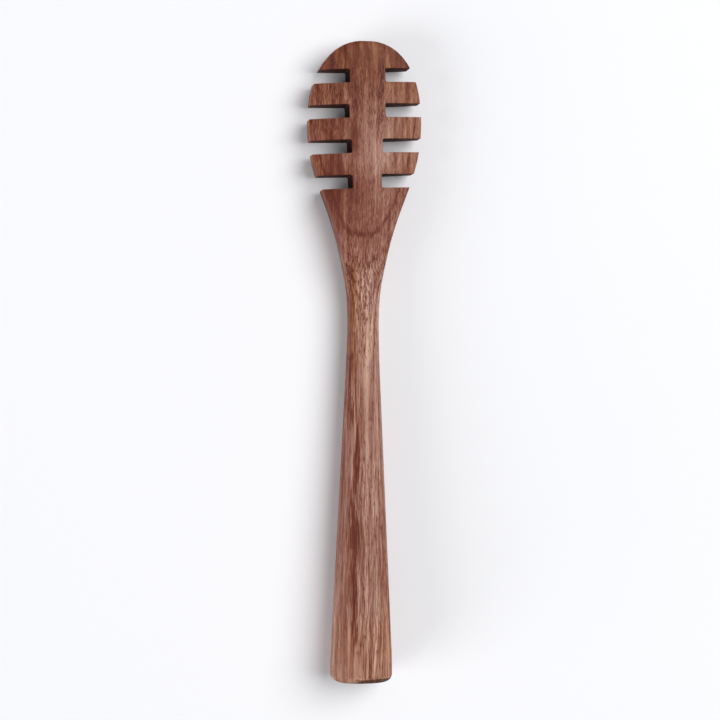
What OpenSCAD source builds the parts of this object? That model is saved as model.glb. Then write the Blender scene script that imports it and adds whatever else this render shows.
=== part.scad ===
// Honey dipper, carved from walnut, with a slotted paddle head.
// It lies on its back: +Y runs from the butt to the tip, +X is right, +Z is up.
// The head is sawn to an outline, crowned on both faces and slotted from both edges,
// so that short fins stand out from a spine and hold the honey between them.
// The handle swells from a slim waist to an eased butt.
// Head and handle meet at the waist in a glued round tenon and socket.

/* [Overall] */
// Length from the butt to the tip
length = 200; // [185:1:240]
// Distance from the butt to the waist, where head and handle meet
waist_at = 112; // [100:1:122]

/* [Handle] */
// Width across the butt
butt_width = 19.3; // [14:0.1:24]
// Depth through the butt, from front to back
butt_depth = 17.4; // [13:0.1:24]
// Radius of the eased edge round the butt end
butt_ease = 2.4; // [0.6:0.1:4]
// Length over which the sides run almost straight before the butt
butt_run = 14; // [5:0.5:35]
// Squareness of the grip's section, where 2 is an ellipse
grip_power = 2.25; // [2:0.05:3]

/* [Waist] */
// Width of the waist
waist_width = 9.7; // [8.5:0.1:14]
// Depth of the waist
waist_depth = 9.6; // [8.5:0.1:14]
// Length of the slim run below the waist
waist_run_down = 18.5; // [6:0.5:40]
// Length of the slim run above the waist
waist_run_up = 34; // [10:0.5:38]

/* [Head] */
// Width of the head at its widest
head_width = 35.4; // [30:0.1:46]
// Distance from the tip down to the widest place
widest_from_tip = 25.7; // [20:0.1:34]
// Length over which the sides leave the widest place
shoulder_run = 22; // [10:0.5:28]
// Height above the waist at which the sawn side walls begin
wall_start = 5; // [2:0.5:15]
// Height above the waist at which the side walls are full and the arrises crisp
wall_full = 22; // [18:0.5:45]
// Fullness of the domed end, where 2 is an ellipse
dome_power = 2.3; // [2:0.05:2.8]
// Depth of the head along its crowned middle
crown_depth = 11.4; // [8.5:0.1:14]
// Depth of the head at its sawn edges, at the widest place
edge_depth = 5.7; // [3:0.1:8]
// Depth of the head at the tip
tip_depth = 8; // [5:0.1:10]

/* [Slots] */
// Number of slots along each edge
slot_count = 4; // [1:1:4]
// Width of a slot, along the dipper
slot_width = 4.3; // [4.2:0.1:5]
// Width of a fin between two slots
fin_width = 6.7; // [5:0.1:7]
// Height of the domed cap above the first slot
cap_height = 8.6; // [7:0.1:11]
// Width of the spine at the first slot from the tip
spine_width_1 = 11.1; // [8:0.1:14]
// Width of the spine at the second slot
spine_width_2 = 11.3; // [8:0.1:14]
// Width of the spine at the third slot
spine_width_3 = 9.7; // [8:0.1:14]
// Width of the spine at the fourth slot, next to the neck
spine_width_4 = 9.1; // [8:0.1:14]
// How far the hand-sawn spine stands to the right of the middle
spine_aside = 0.3; // [-1:0.1:1]
// Radius in the inner corners of a slot
slot_corner = 0.5; // [0.2:0.1:1.5]
// Angle by which the hand-sawn slots lean from square, right ends towards the tip
slot_lean = 2.5; // [-3:0.5:3]

/* [Tenon] */
// Diameter of the tenon on the handle
tenon_diameter = 6; // [4:0.1:6.5]
// Length of the tenon
tenon_length = 14; // [8:0.5:18]
// Glue line round the tenon
glue_gap = 0.05; // [0.02:0.01:0.15]
// Room for glue past the tenon's end
socket_relief = 0.6; // [0.3:0.1:2]

/* [Hidden] */
walnut_head = "#8a5a48";
walnut_handle = "#94624e";
// Steps across the front of a section, and rings along each run
face_steps = 22;
neck_rings = 22;
dome_rings = 13;
grip_rings = 28;
ease_rings = 5;
// Depth of the narrow flat at the sides of a round section
side_flat = 0.5;
// How far the dome's curve would run past the narrow flat that closes it at the tip
tip_flat = 0.08;
// How far a cutting tool runs past the wood
overrun = 2;
axis_height = max(butt_depth, crown_depth) / 2;
widest_at = length - widest_from_tip;
slot_pitch = slot_width + fin_width;
spine_widths = [spine_width_1, spine_width_2, spine_width_3, spine_width_4];
// How far both faces of the plate fall from the middle to the edge, at the widest place
crown_drop = (crown_depth - edge_depth) / 2;

function mix(a, b, t) = a + (b - a) * t;
function clamp01(t) = min(1, max(0, t));
function ease(t) = let (s = clamp01(t)) s * s * (3 - 2 * s);

// A cubic from a to b that leaves and arrives level
function run(a, b, lead_out, lead_in, t) =
    (1 - t) ^ 3 * a + 3 * (1 - t) ^ 2 * t * (a + lead_out) + 3 * (1 - t) * t ^ 2 * (b - lead_in) + t ^ 3 * b;

// Height of a section's front face over its sides at u, from -1 at the left to 1 at the right.
// A roundness of 0 is the crowned plate, and 1 is the grip's oval.
function face_rise(u, roundness) =
    mix(1 - u * u, (1 - min(1, abs(u)) ^ grip_power) ^ (1 / grip_power), roundness);

// One ring of points round a section: left to right over the front, then right to left over the back
function section(y, half_width, half_depth, half_edge, roundness) = [
    for (back = [0, 1], i = [0 : face_steps])
        let (
            u = sin(-90 + 180 * i / face_steps) * (back == 0 ? 1 : -1),
            rise = half_edge + (half_depth - half_edge) * face_rise(u, roundness)
        )
        [half_width * u, y, back == 0 ? rise : -rise]
];

// A section of the plate, crowned alike all along and cut off square where the outline is.
// A roundness over 0 turns it towards the oval of the waist.
function plate_section(y, half_width, half_depth, roundness) =
    let (plate_edge = half_depth - crown_drop * (2 * half_width / head_width) ^ 2)
    section(y, half_width, half_depth, mix(plate_edge, side_flat / 2, roundness), roundness);

// The sections from the butt's end face up to the waist
function handle_sections() = concat(
    [for (i = [0 : ease_rings - 1])
        let (
            turn = 90 * i / ease_rings,
            inset = butt_ease * (1 - sin(turn))
        )
        section(
            butt_ease * (1 - cos(turn)),
            butt_width / 2 - inset,
            butt_depth / 2 - inset,
            side_flat / 2,
            1
        )],
    [for (i = [0 : grip_rings])
        let (t = i / grip_rings)
        section(
            run(butt_ease, waist_at, butt_run, waist_run_down, t),
            run(butt_width / 2, waist_width / 2, 0, 0, t),
            run(butt_depth / 2, waist_depth / 2, 0, 0, t),
            side_flat / 2,
            1
        )]
);

// One section of the neck and shoulders, at t from the waist to the widest place
function neck_section(t) =
    let (y = run(waist_at, widest_at, waist_run_up, shoulder_run, t))
    plate_section(
        y,
        run(waist_width / 2, head_width / 2, 0, 0, t),
        mix(waist_depth, crown_depth, ease((y - waist_at) / (widest_at - waist_at))) / 2,
        1 - ease((y - waist_at - wall_start) / (wall_full - wall_start))
    );

// One section of the domed end, at a distance above the widest place
function dome_section(above) =
    let (share = above / (widest_from_tip + tip_flat))
    plate_section(
        widest_at + above,
        head_width / 2 * (1 - share ^ dome_power) ^ (1 / dome_power),
        mix(tip_depth, crown_depth, sqrt(1 - share ^ 2)) / 2,
        0
    );

// The sections from the waist over the widest place to the tip, closer together near the tip
function head_sections() = concat(
    [for (i = [0 : neck_rings]) neck_section(i / neck_rings)],
    [for (i = [1 : dome_rings])
        dome_section(widest_from_tip * sin(90 * i / dome_rings))]
);

// A closed solid through the sections
module loft(sections) {
    sides = len(sections[0]);
    last = len(sections) - 1;
    skin = [
        for (r = [0 : last - 1], i = [0 : sides - 1])
            let (
                j = (i + 1) % sides,
                a = r * sides + i,
                b = r * sides + j,
                c = a + sides,
                d = b + sides
            )
            each [[a, d, b], [a, c, d]]
    ];
    first_end = [for (i = [0 : sides - 1]) i];
    last_end = [for (i = [sides - 1 : -1 : 0]) last * sides + i];
    polyhedron([for (ring = sections) each ring], concat(skin, [first_end, last_end]), convexity = 6);
}

// The outline of one slot, open outwards along +X, with small inner corners
module slot_outline(spine_width) {
    depth = head_width / 2 + overrun - spine_width / 2;
    translate([spine_width / 2, -slot_width / 2]) {
        translate([slot_corner, 0]) square([depth - slot_corner, slot_width]);
        translate([0, slot_corner]) square([depth, slot_width - 2 * slot_corner]);
        for (y = [slot_corner, slot_width - slot_corner])
            translate([slot_corner, y]) circle(r = slot_corner, $fn = 24);
    }
}

// All the slots along one edge, where side is 1 for the right and -1 for the left
module slots(side) {
    for (i = [0 : slot_count - 1])
        translate([
            spine_aside,
            length - cap_height - slot_width / 2 - i * slot_pitch,
            -crown_depth / 2 - overrun
        ])
            rotate([0, 0, slot_lean + (side > 0 ? 0 : 180)])
                linear_extrude(height = crown_depth + 2 * overrun) slot_outline(spine_widths[i]);
}

// A round peg or its socket, from the waist towards the tip
module peg(diameter, from, to) {
    translate([0, from, 0])
        rotate([-90, 0, 0])
            cylinder(d = diameter, h = to - from, $fn = 48);
}

// From the dipper's own axis to its place on the table, with its middle over the origin
module placed() {
    translate([0, -length / 2, axis_height]) children();
}

module head() {
    color(walnut_head)
        placed()
            difference() {
                loft(head_sections());
                slots(1);
                slots(-1);
                peg(tenon_diameter + 2 * glue_gap, waist_at - overrun, waist_at + tenon_length + socket_relief);
            }
}

module handle() {
    color(walnut_handle)
        placed()
            union() {
                loft(handle_sections());
                peg(tenon_diameter, waist_at - overrun, waist_at + tenon_length);
            }
}

head();
handle();
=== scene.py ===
"""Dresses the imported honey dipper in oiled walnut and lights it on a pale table.

The dipper lies on its back, +Y to the tip and +Z out of its front face. Both pieces are cut from
one blank, so the wood's figure runs on from the head into the handle.
"""

import logging
import math
from dataclasses import dataclass

import bmesh
import bpy
from mathutils import Matrix, Vector


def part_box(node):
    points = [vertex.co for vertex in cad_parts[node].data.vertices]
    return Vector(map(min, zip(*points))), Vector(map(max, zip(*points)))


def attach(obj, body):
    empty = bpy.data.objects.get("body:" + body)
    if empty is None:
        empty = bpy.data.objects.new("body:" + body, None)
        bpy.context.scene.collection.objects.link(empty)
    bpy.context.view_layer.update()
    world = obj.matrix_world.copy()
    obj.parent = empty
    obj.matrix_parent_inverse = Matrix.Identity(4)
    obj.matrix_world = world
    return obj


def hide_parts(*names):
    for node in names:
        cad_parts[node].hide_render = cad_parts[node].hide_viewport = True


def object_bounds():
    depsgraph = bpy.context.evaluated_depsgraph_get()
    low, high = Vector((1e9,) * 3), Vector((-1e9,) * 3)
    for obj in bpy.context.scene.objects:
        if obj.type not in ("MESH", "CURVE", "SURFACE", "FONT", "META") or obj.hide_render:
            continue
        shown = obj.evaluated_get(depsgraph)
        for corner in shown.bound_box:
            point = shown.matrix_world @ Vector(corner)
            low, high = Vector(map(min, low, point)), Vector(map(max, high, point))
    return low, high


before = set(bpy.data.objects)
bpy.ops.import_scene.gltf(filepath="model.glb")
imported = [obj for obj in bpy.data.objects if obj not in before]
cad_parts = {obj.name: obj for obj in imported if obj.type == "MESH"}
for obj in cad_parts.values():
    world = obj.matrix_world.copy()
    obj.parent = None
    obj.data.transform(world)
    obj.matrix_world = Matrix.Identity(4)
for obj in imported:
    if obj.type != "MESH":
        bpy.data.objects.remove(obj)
CAD_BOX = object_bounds()
MM = 0.001
LOG = logging.getLogger("honey_dipper")
# The inputs of a Mix node for its two values and for its two colours, and its output for a colour
VALUE_A, VALUE_B = 2, 3
COLOUR_A, COLOUR_B = 6, 7
MIXED_COLOUR = 2


def linear(code: str) -> tuple[float, float, float, float]:
    """Turns an sRGB hex colour into Blender's linear one, by the sRGB standard's own numbers.

    Args:
        code: Six hex digits after a hash sign.

    Returns:
        Red, green, blue and an alpha of 1.
    """
    shares = [int(code[i : i + 2], 16) / 255 for i in (1, 3, 5)]
    red, green, blue = (s / 12.92 if s <= 0.04045 else ((s + 0.055) / 1.055) ** 2.4 for s in shares)
    return red, green, blue, 1.0


def add(tree: bpy.types.NodeTree, kind: str, feeds: dict | None = None, **settings: object) -> bpy.types.Node:
    """Adds one node with its settings, and feeds its inputs.

    Args:
        tree: The node tree that gets the node.
        kind: The node's type name.
        feeds: Input name or number to a value, or to another node's output socket.
        settings: The node's own attributes.

    Returns:
        The new node.
    """
    node = tree.nodes.new(kind)
    for name, value in settings.items():
        setattr(node, name, value)
    for key, value in (feeds or {}).items():
        if isinstance(value, bpy.types.NodeSocket):
            tree.links.new(value, node.inputs[key])
        else:
            node.inputs[key].default_value = value
    return node


@dataclass(frozen=True)
class Strand:
    """One long mark in the wood. Lengths are in millimetres.

    It lies around a place across the blank and fades out a width away from it. It runs along the
    blank from low to high, and takes away where its share is below 0.
    """

    at: float
    width: float
    low: float
    high: float
    share: float


@dataclass(frozen=True)
class Streaks:
    """Streaks along the grain, cut off at two values of their noise. Lengths are in millimetres."""

    width: float
    length: float
    detail: float = 1.0
    twist: float = 0.0
    low: float = 0.0
    high: float = 1.0
    breaks: float = 0.6


@dataclass
class Blank:
    """The blank that both pieces are cut from, as a material's nodes see it.

    Lengths are in millimetres. Across runs to the right and along runs to the tip, both from the
    middle of the dipper. The grain drifts from side to side by up to about a millimetre.
    """

    tree: bpy.types.NodeTree
    drift: tuple[float, float, float] = (2.2, 0.0, 0.6)
    drift_pitch: tuple[float, float, float] = (8.0, 32.0, 8.0)
    drift_detail: float = 2.0
    drift_breaks: float = 0.5
    noise_middle: float = 0.5
    strand_fade: float = 0.4

    def __post_init__(self) -> None:
        """Finds the place in the blank, drifting a little as real grain does, and how the surface faces."""
        source = add(self.tree, "ShaderNodeTexCoord").outputs
        still = add(
            self.tree, "ShaderNodeMapping", {"Vector": source["Object"], "Scale": (1 / MM,) * 3}
        ).outputs["Vector"]
        slow = add(
            self.tree,
            "ShaderNodeMapping",
            {"Vector": still, "Scale": tuple(1 / pitch for pitch in self.drift_pitch)},
        ).outputs["Vector"]
        noise = add(
            self.tree,
            "ShaderNodeTexNoise",
            {"Vector": slow, "Scale": 1.0, "Detail": self.drift_detail, "Roughness": self.drift_breaks},
        ).outputs["Color"]
        centred = add(
            self.tree,
            "ShaderNodeVectorMath",
            {0: noise, 1: (self.noise_middle,) * 3},
            operation="SUBTRACT",
        ).outputs["Vector"]
        self.place = add(
            self.tree,
            "ShaderNodeVectorMath",
            {0: centred, 1: self.drift, 2: still},
            operation="MULTIPLY_ADD",
        ).outputs["Vector"]
        axes = add(self.tree, "ShaderNodeSeparateXYZ", {"Vector": self.place})
        self.across, self.along = axes.outputs["X"], axes.outputs["Y"]
        facing = add(self.tree, "ShaderNodeVectorMath", {0: source["Normal"]}, operation="ABSOLUTE")
        ways = add(self.tree, "ShaderNodeSeparateXYZ", {"Vector": facing.outputs["Vector"]})
        self.sideways, self.endways = ways.outputs["X"], ways.outputs["Y"]

    def streaks(self, streaks: Streaks) -> bpy.types.NodeSocket:
        """Draws streaks along the grain.

        Args:
            streaks: Their sizes.

        Returns:
            Their strength, from 0 to 1.
        """
        scale = (1 / streaks.width, 1 / streaks.length, 1 / streaks.width)
        stretched = add(self.tree, "ShaderNodeMapping", {"Vector": self.place, "Scale": scale})
        noise = add(
            self.tree,
            "ShaderNodeTexNoise",
            {
                "Vector": stretched.outputs["Vector"],
                "Scale": 1.0,
                "Detail": streaks.detail,
                "Roughness": streaks.breaks,
                "Distortion": streaks.twist,
            },
        )
        return add(
            self.tree,
            "ShaderNodeMapRange",
            {"Value": noise.outputs["Fac"], "From Min": streaks.low, "From Max": streaks.high},
        ).outputs["Result"]

    def near(self, value: bpy.types.NodeSocket, at: float, width: float) -> bpy.types.NodeSocket:
        """Marks what lies around one value.

        Args:
            value: The value.
            at: The value to mark.
            width: How far from it the mark fades out.

        Returns:
            1 at the value, and 0 away from it.
        """
        away = add(self.tree, "ShaderNodeMath", {0: value, 1: at}, operation="SUBTRACT").outputs[0]
        size = add(self.tree, "ShaderNodeMath", {0: away}, operation="ABSOLUTE").outputs[0]
        return add(
            self.tree,
            "ShaderNodeMapRange",
            {"Value": size, "From Min": width, "From Max": 0.0},
            interpolation_type="SMOOTHSTEP",
        ).outputs["Result"]

    def strand(self, strand: Strand) -> bpy.types.NodeSocket:
        """Draws one long mark, fading in at both of its ends.

        Args:
            strand: The mark.

        Returns:
            Its strength, from 0 to 1.
        """
        middle, half = (strand.low + strand.high) / 2, (strand.high - strand.low) / 2
        across = self.near(self.across, strand.at, strand.width)
        along = self.near(self.along, middle, half)
        full = add(self.tree, "ShaderNodeMapRange", {"Value": along, "From Max": self.strand_fade})
        return add(
            self.tree, "ShaderNodeMath", {0: across, 1: full.outputs["Result"]}, operation="MULTIPLY"
        ).outputs[0]

    def total(
        self, parts: list[tuple[bpy.types.NodeSocket, float]], start: float | bpy.types.NodeSocket = 0.0
    ) -> bpy.types.NodeSocket:
        """Adds up patterns.

        Args:
            parts: Each pattern with its share.
            start: What the sum starts from.

        Returns:
            The sum.
        """
        for pattern, share in parts:
            start = add(
                self.tree, "ShaderNodeMath", {0: pattern, 1: share, 2: start}, operation="MULTIPLY_ADD"
            ).outputs[0]
        return start

    def marks(
        self, strands: tuple[Strand, ...], start: float | bpy.types.NodeSocket = 0.0
    ) -> bpy.types.NodeSocket:
        """Adds up long marks, each with its own share, to what the sum starts from."""
        return self.total([(self.strand(each), each.share) for each in strands], start)


@dataclass(frozen=True)
class EndGrain:
    """Walnut cut across the grain, which drinks more oil and goes dark. Lengths are in millimetres.

    Faces count by how far they turn endways, from 0 to 1. The butt's edge is torn on the right,
    where dark splinters reach round it. The closed ends of the slots run along the grain, and their
    dark colour is painted shade, as they lie deep in the narrow slots, so they are marked too.
    """

    colour: str = "#2A0E08"
    share: float = 0.75
    sawn_facing: tuple[float, float] = (0.8, 0.95)
    butt_below: float = -90.0
    torn_across: tuple[float, float] = (-3.0, 0.0)
    torn_facing: tuple[float, float] = (1.06, 1.12)
    torn_reach: float = 0.52
    splinters: Streaks = Streaks(width=0.6, length=2.0)
    splinter_reach: float = 0.4
    # The slots' closed ends, deep in the narrow slots, get the dark colour as painted shade
    kerf_shade_facing: float = 0.7
    kerf_shade_within: float = 9.0
    kerf_shade_above: float = 52.0

    def build(self, blank: Blank) -> bpy.types.NodeSocket:
        """Finds all that is cut across the grain, and the slots' closed ends that get painted shade.

        Args:
            blank: The blank of wood.

        Returns:
            The share of end grain, with the painted shade at the slots' closed ends, from 0 to 1.
        """
        butt = self.torn_butt(blank)
        sawn = add(
            blank.tree,
            "ShaderNodeMapRange",
            {
                "Value": blank.endways,
                "From Min": self.sawn_facing[0],
                "From Max": self.sawn_facing[1],
                "To Max": self.share,
            },
        ).outputs["Result"]
        ends = add(blank.tree, "ShaderNodeMath", {0: butt, 1: sawn}, operation="MAXIMUM").outputs[0]
        # The slots' closed ends get the dark colour as painted shade
        return add(
            blank.tree, "ShaderNodeMath", {0: ends, 1: self.kerf_shade(blank)}, operation="MAXIMUM"
        ).outputs[0]

    def torn_butt(self, blank: Blank) -> bpy.types.NodeSocket:
        """Finds the end grain at the butt, which splinters reach beyond on the right.

        Args:
            blank: The blank of wood.

        Returns:
            The share of end grain at the butt, from 0 to 1.
        """
        right = add(
            blank.tree,
            "ShaderNodeMapRange",
            {"Value": blank.across, "From Min": self.torn_across[0], "From Max": self.torn_across[1]},
        ).outputs["Result"]
        splinters = blank.streaks(self.splinters)
        ragged = blank.total(
            [(right, self.torn_reach), (splinters, self.splinter_reach)], blank.endways
        )
        torn = add(
            blank.tree,
            "ShaderNodeMapRange",
            {
                "Value": ragged,
                "From Min": self.torn_facing[0],
                "From Max": self.torn_facing[1],
                "To Max": self.share,
            },
        ).outputs["Result"]
        at_butt = add(
            blank.tree, "ShaderNodeMath", {0: blank.along, 1: self.butt_below}, operation="LESS_THAN"
        ).outputs[0]
        return add(blank.tree, "ShaderNodeMath", {0: torn, 1: at_butt}, operation="MULTIPLY").outputs[0]

    def kerf_shade(self, blank: Blank) -> bpy.types.NodeSocket:
        """Finds the closed ends of the slots, which get the end grain's dark colour as painted shade.

        Args:
            blank: The blank of wood.

        Returns:
            1 on the spine's side walls, and 0 elsewhere.
        """
        aside = add(blank.tree, "ShaderNodeMath", {0: blank.across}, operation="ABSOLUTE").outputs[0]
        found = add(
            blank.tree, "ShaderNodeMath", {0: blank.sideways, 1: self.kerf_shade_facing}, operation="GREATER_THAN"
        ).outputs[0]
        limits = ((aside, self.kerf_shade_within, "LESS_THAN"), (blank.along, self.kerf_shade_above, "GREATER_THAN"))
        for value, edge, side in limits:
            inside = add(blank.tree, "ShaderNodeMath", {0: value, 1: edge}, operation=side).outputs[0]
            found = add(
                blank.tree, "ShaderNodeMath", {0: found, 1: inside}, operation="MULTIPLY"
            ).outputs[0]
        return found


@dataclass(frozen=True)
class OiledWalnut:
    """Black walnut, sanded along the grain and rubbed with oil. Lengths are in millimetres.

    The blank is flat-sawn, so its growth layers lie almost level, and the neck cuts a dark one in
    an arch. Where the surface runs along the grain, on the handle, the fibres show as long fine
    lines. Where it cuts them at a slant, on the head and the neck, they show as short flecks, most
    of all at the waist. The head is rich and warm, and towards the butt the wood is paler and
    pinker, with golden streaks: partly oil worn off, partly a painted sheen, the key lamp's
    highlight on the spine and down the handle. The left side is darker, partly the wood's own
    colour and partly painted shade on the side turned away from the key lamp. The oil gives a soft
    sheen. Whatever is cut across the grain is dark and dull.
    """

    name: str
    ends: EndGrain = EndGrain()
    # Tones from dark to light, on fresh oil and where it has worn off, where the paler pinker tones also
    # paint the key lamp's sheen, and a tint over both
    oiled: tuple[str, ...] = ("#3E120A", "#622B10", "#80441F", "#A06542")
    worn_and_sheen: tuple[str, ...] = ("#5E2210", "#7E4632", "#A27767", "#D4AC98")
    stops: tuple[float, ...] = (0.0, 0.25, 0.55, 1.0)
    gold: str = "#FFF2D6"
    # The wood inside the growth layers changes with height, and shows as the surface slopes
    layer_gap: float = 0.5
    layer_rise: tuple[float, float, float] = (-0.01, 0.05, 1.0)
    layer_detail: float = 3.0
    layer_breaks: float = 0.6
    layer_share: float = 0.8
    full_slope: float = 0.16
    level_share: float = 0.15
    arch_height: float = 15.78
    arch_thickness: float = 0.14
    arch_share: float = -0.5
    # Real fibres are about 0.03 mm wide and real pores about 0.15 mm. Both are drawn coarser,
    # because a pixel of the render covers 0.31 mm.
    lines: Streaks = Streaks(width=0.3, length=26.0, detail=2.0, low=0.39, high=0.61)
    flecks: Streaks = Streaks(width=0.34, length=2.4, detail=2.0, twist=0.8, low=0.39, high=0.61)
    flecks_from: float = 24.0
    lines_from: float = -10.0
    fibre_share: float = 0.4
    pores: Streaks = Streaks(width=0.3, length=2.4, low=0.58, high=0.7)
    pore_share: float = -0.3
    fine_start: float = -0.17
    # Broad light and dark bands, patches where the oil is uneven, and the wear of the oil, which also paints
    # sheen towards the butt
    bands: Streaks = Streaks(width=1.3, length=60.0)
    band_share: float = 0.8
    broad_start: float = 0.08
    patches: Streaks = Streaks(width=2.5, length=26.0)
    patch_share: float = 0.8
    oiled_at: float = 92.0
    worn_and_sheen_at: float = -15.0
    # How strongly the fine figure shows: lively at the waist and on the right of the butt, and calm
    # on the cap, the neck and the left of the handle
    calm: float = 0.8
    vigour: tuple[Strand, ...] = (
        Strand(0.0, 99.0, -6.0, 42.0, 0.5),
        Strand(0.0, 99.0, 85.0, 140.0, -0.5),
        Strand(0.0, 99.0, -130.0, -8.0, 0.2),
        Strand(3.0, 7.5, -130.0, -70.0, 0.45),
        Strand(0.0, 99.0, 24.0, 84.0, -0.25),
        Strand(-0.2, 2.4, -8.0, 34.0, 0.6),
        Strand(-6.5, 5.5, -130.0, 2.0, -0.4),
    )
    # Marks that break up into threads: a dark vein down the handle, a pale streak at the waist and
    # a dark line up the right side of the spine
    thread_start: float = 1.5
    strands: tuple[Strand, ...] = (
        Strand(-2.6, 1.1, -66.0, -16.0, -0.7),
        Strand(-3.9, 1.5, -96.0, -36.0, -0.6),
        Strand(-4.4, 2.6, -24.0, 8.0, -0.2),
        Strand(0.4, 1.2, -40.0, 26.0, 0.3),
        Strand(4.4, 1.3, 64.0, 98.0, -0.25),
    )
    # Soft tones, from the handle up to the tip: some are the wood's own, the dark ones down the left side are
    # partly painted shade, and the light ones right of the middle on the handle and the spine are painted
    # sheen
    tones_and_painted_light: tuple[Strand, ...] = (
        Strand(0.0, 60.0, -94.0, 24.0, -0.07),
        Strand(-1.0, 3.0, -92.0, -70.0, -0.08),
        # partly the wood's own colour, partly painted shade down the left of the handle
        Strand(-8.0, 6.0, -74.0, 12.0, -0.2),
        Strand(-4.4, 3.2, 0.0, 36.0, -0.14),
        # painted sheen down the handle, right of the middle
        Strand(2.0, 4.5, -64.0, -12.0, 0.1),
        Strand(0.0, 60.0, 22.0, 66.0, -0.18),
        # painted sheen low on the spine, right of the middle
        Strand(2.5, 3.6, 46.0, 76.0, 0.12),
        # partly the wood's own colour, partly painted shade on the left fins
        Strand(-12.0, 9.0, 46.0, 82.0, -0.1),
        Strand(3.2, 2.4, -10.0, 26.0, 0.1),
        Strand(-3.0, 3.6, 60.0, 92.0, -0.18),
        # partly the wood's own colour, partly painted shade down the left of the head
        Strand(-11.0, 16.0, 30.0, 120.0, -0.2),
        Strand(0.0, 60.0, 78.0, 140.0, -0.12),
        Strand(14.0, 11.0, 84.0, 140.0, -0.28),
    )
    # Where the oil has worn off more, on the spine and down the handle right of the middle, where it is
    # painted sheen, or less, left of the waist
    wear_and_sheen_start: float = 0.1
    wear_and_sheen: tuple[Strand, ...] = (
        # painted sheen on the spine, right of the middle
        Strand(2.0, 7.0, 22.0, 84.0, 0.45),
        Strand(-4.4, 3.6, -14.0, 40.0, -0.8),
        # painted sheen down the handle, right of the middle
        Strand(2.0, 4.5, -64.0, -12.0, 0.4),
    )
    # Where the wood is golden: left of the waist, down the right side, the butt, the cap and the fins
    gilding: tuple[Strand, ...] = (
        Strand(-4.2, 3.4, -14.0, 38.0, 1.0),
        Strand(0.4, 1.6, -40.0, 30.0, 0.2),
        Strand(8.0, 4.5, -105.0, -16.0, 0.7),
        Strand(0.0, 99.0, -120.0, -74.0, 0.5),
        Strand(0.0, 99.0, 78.0, 130.0, 1.0),
        Strand(-14.0, 9.0, 36.0, 92.0, 0.7),
        Strand(14.0, 9.0, 36.0, 104.0, 0.6),
    )
    # The oil's sheen, and the relief of fibres and open pores
    ior: float = 1.5
    sheen: float = 0.26
    roughness: float = 0.5
    dull: float = 0.9
    relief_depth: float = 0.1
    relief_strength: float = 0.5
    pore_sink: float = -0.8

    def build(self) -> bpy.types.Material:
        """Makes the material's nodes.

        Returns:
            The finished material.
        """
        material = bpy.data.materials.new(self.name)
        material.use_nodes = True
        tree = material.node_tree
        tree.nodes.clear()
        blank = Blank(tree)
        fibres = self.fibres(blank)
        pores = blank.streaks(self.pores)
        ends = self.ends.build(blank)
        tone = self.tone(blank, fibres, pores)
        dullness = add(
            tree, "ShaderNodeMapRange", {"Value": ends, "To Min": self.roughness, "To Max": self.dull}
        )
        shader = add(
            tree,
            "ShaderNodeBsdfPrincipled",
            {
                "Base Color": self.colour(blank, tone, ends),
                "Roughness": dullness.outputs["Result"],
                "IOR": self.ior,
                "Specular IOR Level": self.sheen,
                "Normal": self.relief(blank, fibres, pores),
            },
        )
        add(tree, "ShaderNodeOutputMaterial", {"Surface": shader.outputs["BSDF"]})
        return material

    def fibres(self, blank: Blank) -> bpy.types.NodeSocket:
        """Draws the fibres, as long lines on the handle and as short flecks on the head.

        Args:
            blank: The blank of wood.

        Returns:
            The fibres' tone, from 0 to 1.
        """
        lines = blank.streaks(self.lines)
        straight = add(
            blank.tree,
            "ShaderNodeMapRange",
            {"Value": blank.along, "From Min": self.flecks_from, "From Max": self.lines_from},
        ).outputs["Result"]
        flecks = blank.streaks(self.flecks)
        return add(
            blank.tree, "ShaderNodeMix", {"Factor": straight, VALUE_A: flecks, VALUE_B: lines}
        ).outputs[0]

    def tone(
        self, blank: Blank, fibres: bpy.types.NodeSocket, pores: bpy.types.NodeSocket
    ) -> bpy.types.NodeSocket:
        """Adds up how light the wood is, with painted shade down the left side and painted sheen right of the
        middle among the soft tones. Some marks break up into threads along the fibres.

        Args:
            blank: The blank of wood.
            fibres: The fibres.
            pores: The open pores.

        Returns:
            The tone, from 0 for dark to 1 for light.
        """
        height = add(
            blank.tree, "ShaderNodeVectorMath", {0: blank.place, 1: self.layer_rise}, operation="DOT_PRODUCT"
        ).outputs["Value"]
        fine = blank.total(
            [(fibres, self.fibre_share), (pores, self.pore_share), (self.layers(blank, height), 1.0)],
            self.fine_start,
        )
        vigour = blank.marks(self.vigour, self.calm)
        bands = blank.total([(blank.streaks(self.bands), self.band_share)], self.broad_start)
        broad = blank.marks(self.tones_and_painted_light, bands)
        figured = add(
            blank.tree, "ShaderNodeMath", {0: fine, 1: vigour, 2: broad}, operation="MULTIPLY_ADD"
        ).outputs[0]
        threads = add(
            blank.tree, "ShaderNodeMath", {0: self.thread_start, 1: fibres}, operation="SUBTRACT"
        ).outputs[0]
        return add(
            blank.tree,
            "ShaderNodeMath",
            {0: blank.marks(self.strands, self.arch(blank, height)), 1: threads, 2: figured},
            operation="MULTIPLY_ADD",
        ).outputs[0]

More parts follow.
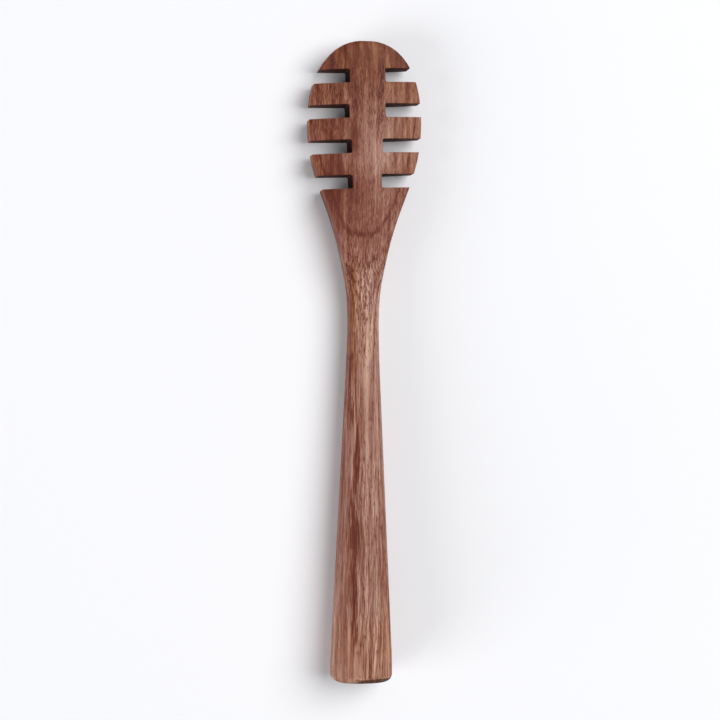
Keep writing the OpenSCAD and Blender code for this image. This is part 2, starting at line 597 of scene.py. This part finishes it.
    def layers(self, blank: Blank, height: bpy.types.NodeSocket) -> bpy.types.NodeSocket:
        """Draws the growth layers, which show where the surface slopes and cuts through them.

        Args:
            blank: The blank of wood.
            height: The height across the layers.

        Returns:
            What they add to the tone, around 0.
        """
        pile = add(
            blank.tree, "ShaderNodeMath", {0: height, 1: self.layer_gap}, operation="DIVIDE"
        ).outputs[0]
        layers = add(
            blank.tree,
            "ShaderNodeTexNoise",
            {"W": pile, "Scale": 1.0, "Detail": self.layer_detail, "Roughness": self.layer_breaks},
            noise_dimensions="1D",
        ).outputs["Fac"]
        slope = add(
            blank.tree,
            "ShaderNodeMapRange",
            {"Value": blank.sideways, "From Max": self.full_slope, "To Min": self.level_share},
        ).outputs["Result"]
        centred = blank.total([(layers, self.layer_share)], -self.layer_share / 2)
        return add(blank.tree, "ShaderNodeMath", {0: centred, 1: slope}, operation="MULTIPLY").outputs[0]

    def arch(self, blank: Blank, height: bpy.types.NodeSocket) -> bpy.types.NodeSocket:
        """Draws the dark growth layer that the neck cuts in an arch, broken up by patches.

        Args:
            blank: The blank of wood.
            height: The height across the layers.

        Returns:
            What it adds to the tone, 0 or below.
        """
        arch = blank.near(height, self.arch_height, self.arch_thickness)
        patches = blank.streaks(self.patches)
        broken = add(blank.tree, "ShaderNodeMath", {0: arch, 1: patches}, operation="MULTIPLY").outputs[0]
        return blank.total([(broken, self.arch_share)])

    def colour(
        self, blank: Blank, tone: bpy.types.NodeSocket, ends: bpy.types.NodeSocket
    ) -> bpy.types.NodeSocket:
        """Turns tone, wear with its painted sheen, and cut ends with the painted shade in the slots into the
        wood's colour.

        Args:
            blank: The blank of wood.
            tone: How light the wood is.
            ends: The share of end grain, with the painted shade at the slots' closed ends.

        Returns:
            The colour of every face.
        """
        ramps = []
        for tones in (self.oiled, self.worn_and_sheen):
            ramp = add(blank.tree, "ShaderNodeValToRGB", {"Fac": tone})
            stops = ramp.color_ramp.elements
            stops[0].position, stops[0].color = self.stops[0], linear(tones[0])
            stops[1].position, stops[1].color = self.stops[-1], linear(tones[-1])
            for position, code in zip(self.stops[1:-1], tones[1:-1]):
                stops.new(position).color = linear(code)
            ramps.append(ramp.outputs["Color"])
        wooden = add(
            blank.tree,
            "ShaderNodeMix",
            {"Factor": self.worn_off_and_sheen(blank), COLOUR_A: ramps[0], COLOUR_B: ramps[1]},
            data_type="RGBA",
        ).outputs[MIXED_COLOUR]
        gilded = add(
            blank.tree,
            "ShaderNodeMix",
            {"Factor": blank.marks(self.gilding), COLOUR_A: wooden, COLOUR_B: linear(self.gold)},
            data_type="RGBA",
            blend_type="MULTIPLY",
            clamp_factor=True,
        ).outputs[MIXED_COLOUR]
        return add(
            blank.tree,
            "ShaderNodeMix",
            {"Factor": ends, COLOUR_A: gilded, COLOUR_B: linear(self.ends.colour)},
            data_type="RGBA",
        ).outputs[MIXED_COLOUR]

    def worn_off_and_sheen(self, blank: Blank) -> bpy.types.NodeSocket:
        """Finds how far the oil has worn off, more towards the butt and unevenly all over. Its paler, pinker
        colour is partly painted sheen from the key lamp.

        Args:
            blank: The blank of wood.

        Returns:
            0 for fresh oil to 1 for worn oil with painted sheen.
        """
        fade = add(
            blank.tree,
            "ShaderNodeMapRange",
            {"Value": blank.along, "From Min": self.oiled_at, "From Max": self.worn_and_sheen_at},
        ).outputs["Result"]
        uneven = blank.total(
            [(blank.streaks(self.patches), self.patch_share), (fade, 1.0)], self.wear_and_sheen_start
        )
        return add(blank.tree, "ShaderNodeClamp", {"Value": blank.marks(self.wear_and_sheen, uneven)}).outputs[0]

    def relief(
        self, blank: Blank, fibres: bpy.types.NodeSocket, pores: bpy.types.NodeSocket
    ) -> bpy.types.NodeSocket:
        """Sinks the pores and raises the fibres by a few hundredths of a millimetre.

        Args:
            blank: The blank of wood.
            fibres: The fibres.
            pores: The open pores.

        Returns:
            The bent normal.
        """
        return add(
            blank.tree,
            "ShaderNodeBump",
            {
                "Height": blank.total([(pores, self.pore_sink)], fibres),
                "Strength": self.relief_strength,
                "Distance": self.relief_depth * MM,
            },
        ).outputs["Normal"]


@dataclass
class WoodPiece:
    """One wooden piece, shaped from its solid, with its sawn arrises eased as sandpaper leaves them."""

    node: str
    name: str
    slot: str
    finish: bpy.types.Material
    arris: float = 0.3 * MM
    arris_steps: int = 2
    weld_gap: float = 0.002 * MM
    flat_degrees: float = 0.6
    sharp_degrees: float = 38.0
    joint_slack: float = 1.0 * MM
    joint_plane_slack: float = 0.01 * MM
    joint_reach_aside: float = 4.0 * MM

    def build(self) -> bpy.types.Object:
        """Makes, dresses and mounts the piece.

        Returns:
            The finished piece.
        """
        mesh = self.shape()
        piece = bpy.data.objects.new(self.name, mesh)
        bpy.context.scene.collection.objects.link(piece)
        mesh.materials.append(self.finish)
        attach(piece, "root")
        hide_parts(self.node)
        return piece

    def shape(self) -> bpy.types.Mesh:
        """Copies the solid, merges its loose triangles and eases its sharp edges.

        The rim of the glued joint stays sharp, because head and handle were sanded down together.

        Returns:
            The mesh of the piece.
        """
        made = bmesh.new()
        made.from_mesh(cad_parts[self.node].data)
        bmesh.ops.remove_doubles(made, verts=made.verts, dist=self.weld_gap)
        bmesh.ops.dissolve_limit(
            made,
            angle_limit=math.radians(self.flat_degrees),
            verts=made.verts,
            edges=made.edges,
        )
        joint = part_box("head")[0].y
        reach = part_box("handle")[1].y
        least = math.radians(self.sharp_degrees)
        sharp = [e for e in made.edges if e.is_manifold and e.calc_face_angle() > least]
        hidden = [e for e in sharp if self.in_joint(e, joint, reach)]
        for edge in hidden:
            edge.smooth = False
        bmesh.ops.bevel(
            made,
            geom=[e for e in sharp if e not in set(hidden)],
            offset=self.arris,
            offset_type="OFFSET",
            segments=self.arris_steps,
            profile=0.5,
            affect="EDGES",
            clamp_overlap=True,
            material=-1,
        )
        for face in made.faces:
            face.smooth = True
        mesh = bpy.data.meshes.new(self.name)
        made.to_mesh(mesh)
        made.free()
        return mesh

    def in_joint(self, edge: bmesh.types.BMEdge, joint: float, reach: float) -> bool:
        """Tells whether an edge belongs to the glued joint.

        Args:
            edge: The edge.
            joint: Where along the dipper head and handle meet.
            reach: Where the tenon ends.

        Returns:
            True on the rim of the joint and on the tenon or its socket.
        """
        middle = (edge.verts[0].co + edge.verts[1].co) / 2
        near_axis = abs(middle.x) < self.joint_reach_aside
        on_rim = abs(middle.y - joint) < self.joint_plane_slack
        return on_rim or (joint < middle.y < reach + self.joint_slack and near_axis)


@dataclass
class Table:
    """A round pale table top that the dipper lies on, touching under the butt and under the head."""

    colour: str = "#F6F6F8"
    roughness: float = 0.9
    radius: float = 1.4
    rim_steps: int = 128
    heel_inset: float = 2.4 * MM
    crown_from_tip: float = 25.7 * MM

    def build(self) -> bpy.types.Object:
        """Makes the table top.

        Returns:
            The table top, marked as stage.
        """
        handle_low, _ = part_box("handle")
        head_low, head_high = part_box("head")
        heel = Vector((0, handle_low.y + self.heel_inset, handle_low.z))
        crown = Vector((0, head_high.y - self.crown_from_tip, head_low.z))
        tilt = math.atan2(crown.z - heel.z, crown.y - heel.y)
        made = bmesh.new()
        bmesh.ops.create_circle(made, cap_ends=True, segments=self.rim_steps, radius=self.radius)
        bmesh.ops.rotate(made, cent=(0, 0, 0), matrix=Matrix.Rotation(tilt, 3, "X"), verts=made.verts)
        bmesh.ops.translate(made, vec=heel, verts=made.verts)
        mesh = bpy.data.meshes.new("table")
        made.to_mesh(mesh)
        made.free()
        top = bpy.data.objects.new("table", mesh)
        bpy.context.scene.collection.objects.link(top)
        material = bpy.data.materials.new("pale_table")
        material.use_nodes = True
        shader = material.node_tree.nodes["Principled BSDF"]
        shader.inputs["Base Color"].default_value = linear(self.colour)
        shader.inputs["Roughness"].default_value = self.roughness
        mesh.materials.append(material)
        return top


@dataclass(frozen=True)
class Softbox:
    """One round soft lamp, a way off towards a bearing that is 0 at the right and 90 at the tip."""

    name: str
    watts: float
    bearing: float
    from_upright: float
    width: float
    away: float

    def build(self) -> None:
        """Hangs the lamp and turns it to the dipper."""
        lamp = bpy.data.lights.new(self.name, "AREA")
        lamp.shape = "DISK"
        lamp.size = self.width
        lamp.energy = self.watts
        stand = bpy.data.objects.new(self.name, lamp)
        bpy.context.scene.collection.objects.link(stand)
        bearing, lean = math.radians(self.bearing), math.radians(self.from_upright)
        aside = math.sin(lean)
        way = Vector((aside * math.cos(bearing), aside * math.sin(bearing), math.cos(lean)))
        stand.location = way * self.away
        stand.rotation_mode = "QUATERNION"
        stand.rotation_quaternion = way.to_track_quat("Z", "Y")


@dataclass
class Studio:
    """Soft light and the camera over the table.

    The surround lights the dipper faintly and evenly, and the camera sees it as a white backdrop
    past the table's edge. A large lamp hangs over the right side and a weaker one stands low at the
    left, where the shadows beside the dipper show that the photograph's light came from.
    """

    sky: float = 0.222
    sky_colour: str = "#F6F9FF"
    backdrop: float = 1.0
    lamps: tuple[Softbox, ...] = (
        Softbox("soft_key", watts=55.2, bearing=25.0, from_upright=33.0, width=2.3, away=2.4),
        Softbox("low_fill", watts=40.0, bearing=205.0, from_upright=73.0, width=1.8, away=2.4),
    )
    camera_away: float = 0.6
    camera_lean: float = 8.85
    camera_roll: float = 0.307
    camera_aside: tuple[float, float] = (-0.87 * MM, 0.555 * MM)
    frame_width: float = 226.0 * MM
    sensor: float = 36.0

    def build(self) -> None:
        """Lights the table and points the camera."""
        self.light()
        self.point_camera()

    def light(self) -> None:
        """Sets the surround and hangs the lamps."""
        world = bpy.data.worlds.new("studio")
        bpy.context.scene.world = world
        world.use_nodes = True
        surround = world.node_tree.nodes["Background"]
        surround.inputs["Color"].default_value = linear(self.sky_colour)
        seen = add(world.node_tree, "ShaderNodeLightPath").outputs["Is Camera Ray"]
        strength = add(
            world.node_tree,
            "ShaderNodeMapRange",
            {"Value": seen, "To Min": self.sky, "To Max": self.backdrop},
        ).outputs["Result"]
        world.node_tree.links.new(strength, surround.inputs["Strength"])
        for lamp in self.lamps:
            lamp.build()

    def point_camera(self) -> None:
        """Looks straight down, a little from the left, as the photograph does."""
        lens = bpy.data.cameras.new("camera")
        lens.sensor_width = self.sensor
        lens.lens = self.sensor * self.camera_away / self.frame_width
        camera = bpy.data.objects.new("camera", lens)
        bpy.context.scene.collection.objects.link(camera)
        centre = (CAD_BOX[0] + CAD_BOX[1]) / 2
        lean = Matrix.Rotation(math.radians(-self.camera_lean), 4, "Y")
        roll = Matrix.Rotation(math.radians(self.camera_roll), 4, "Z")
        away = Matrix.Translation((*self.camera_aside, self.camera_away))
        camera.matrix_world = Matrix.Translation(centre) @ lean @ roll @ away
        bpy.context.scene.camera = camera
        bpy.context.scene.view_settings.view_transform = "Standard"


def main() -> None:
    """Builds the dipper, the table and the studio in order."""
    logging.basicConfig(level=logging.INFO, format="%(name)s: %(message)s")
    walnut = OiledWalnut("oiled_walnut").build()
    pieces = [
        WoodPiece("head", "walnut_paddle", "walnut_head", walnut),
        WoodPiece("handle", "walnut_grip", "walnut_handle", walnut),
    ]
    for piece in pieces:
        made = piece.build()
        LOG.info("%s has %d faces", made.name, len(made.data.polygons))
    Table().build()
    Studio().build()


if __name__ == "__main__":
    main()
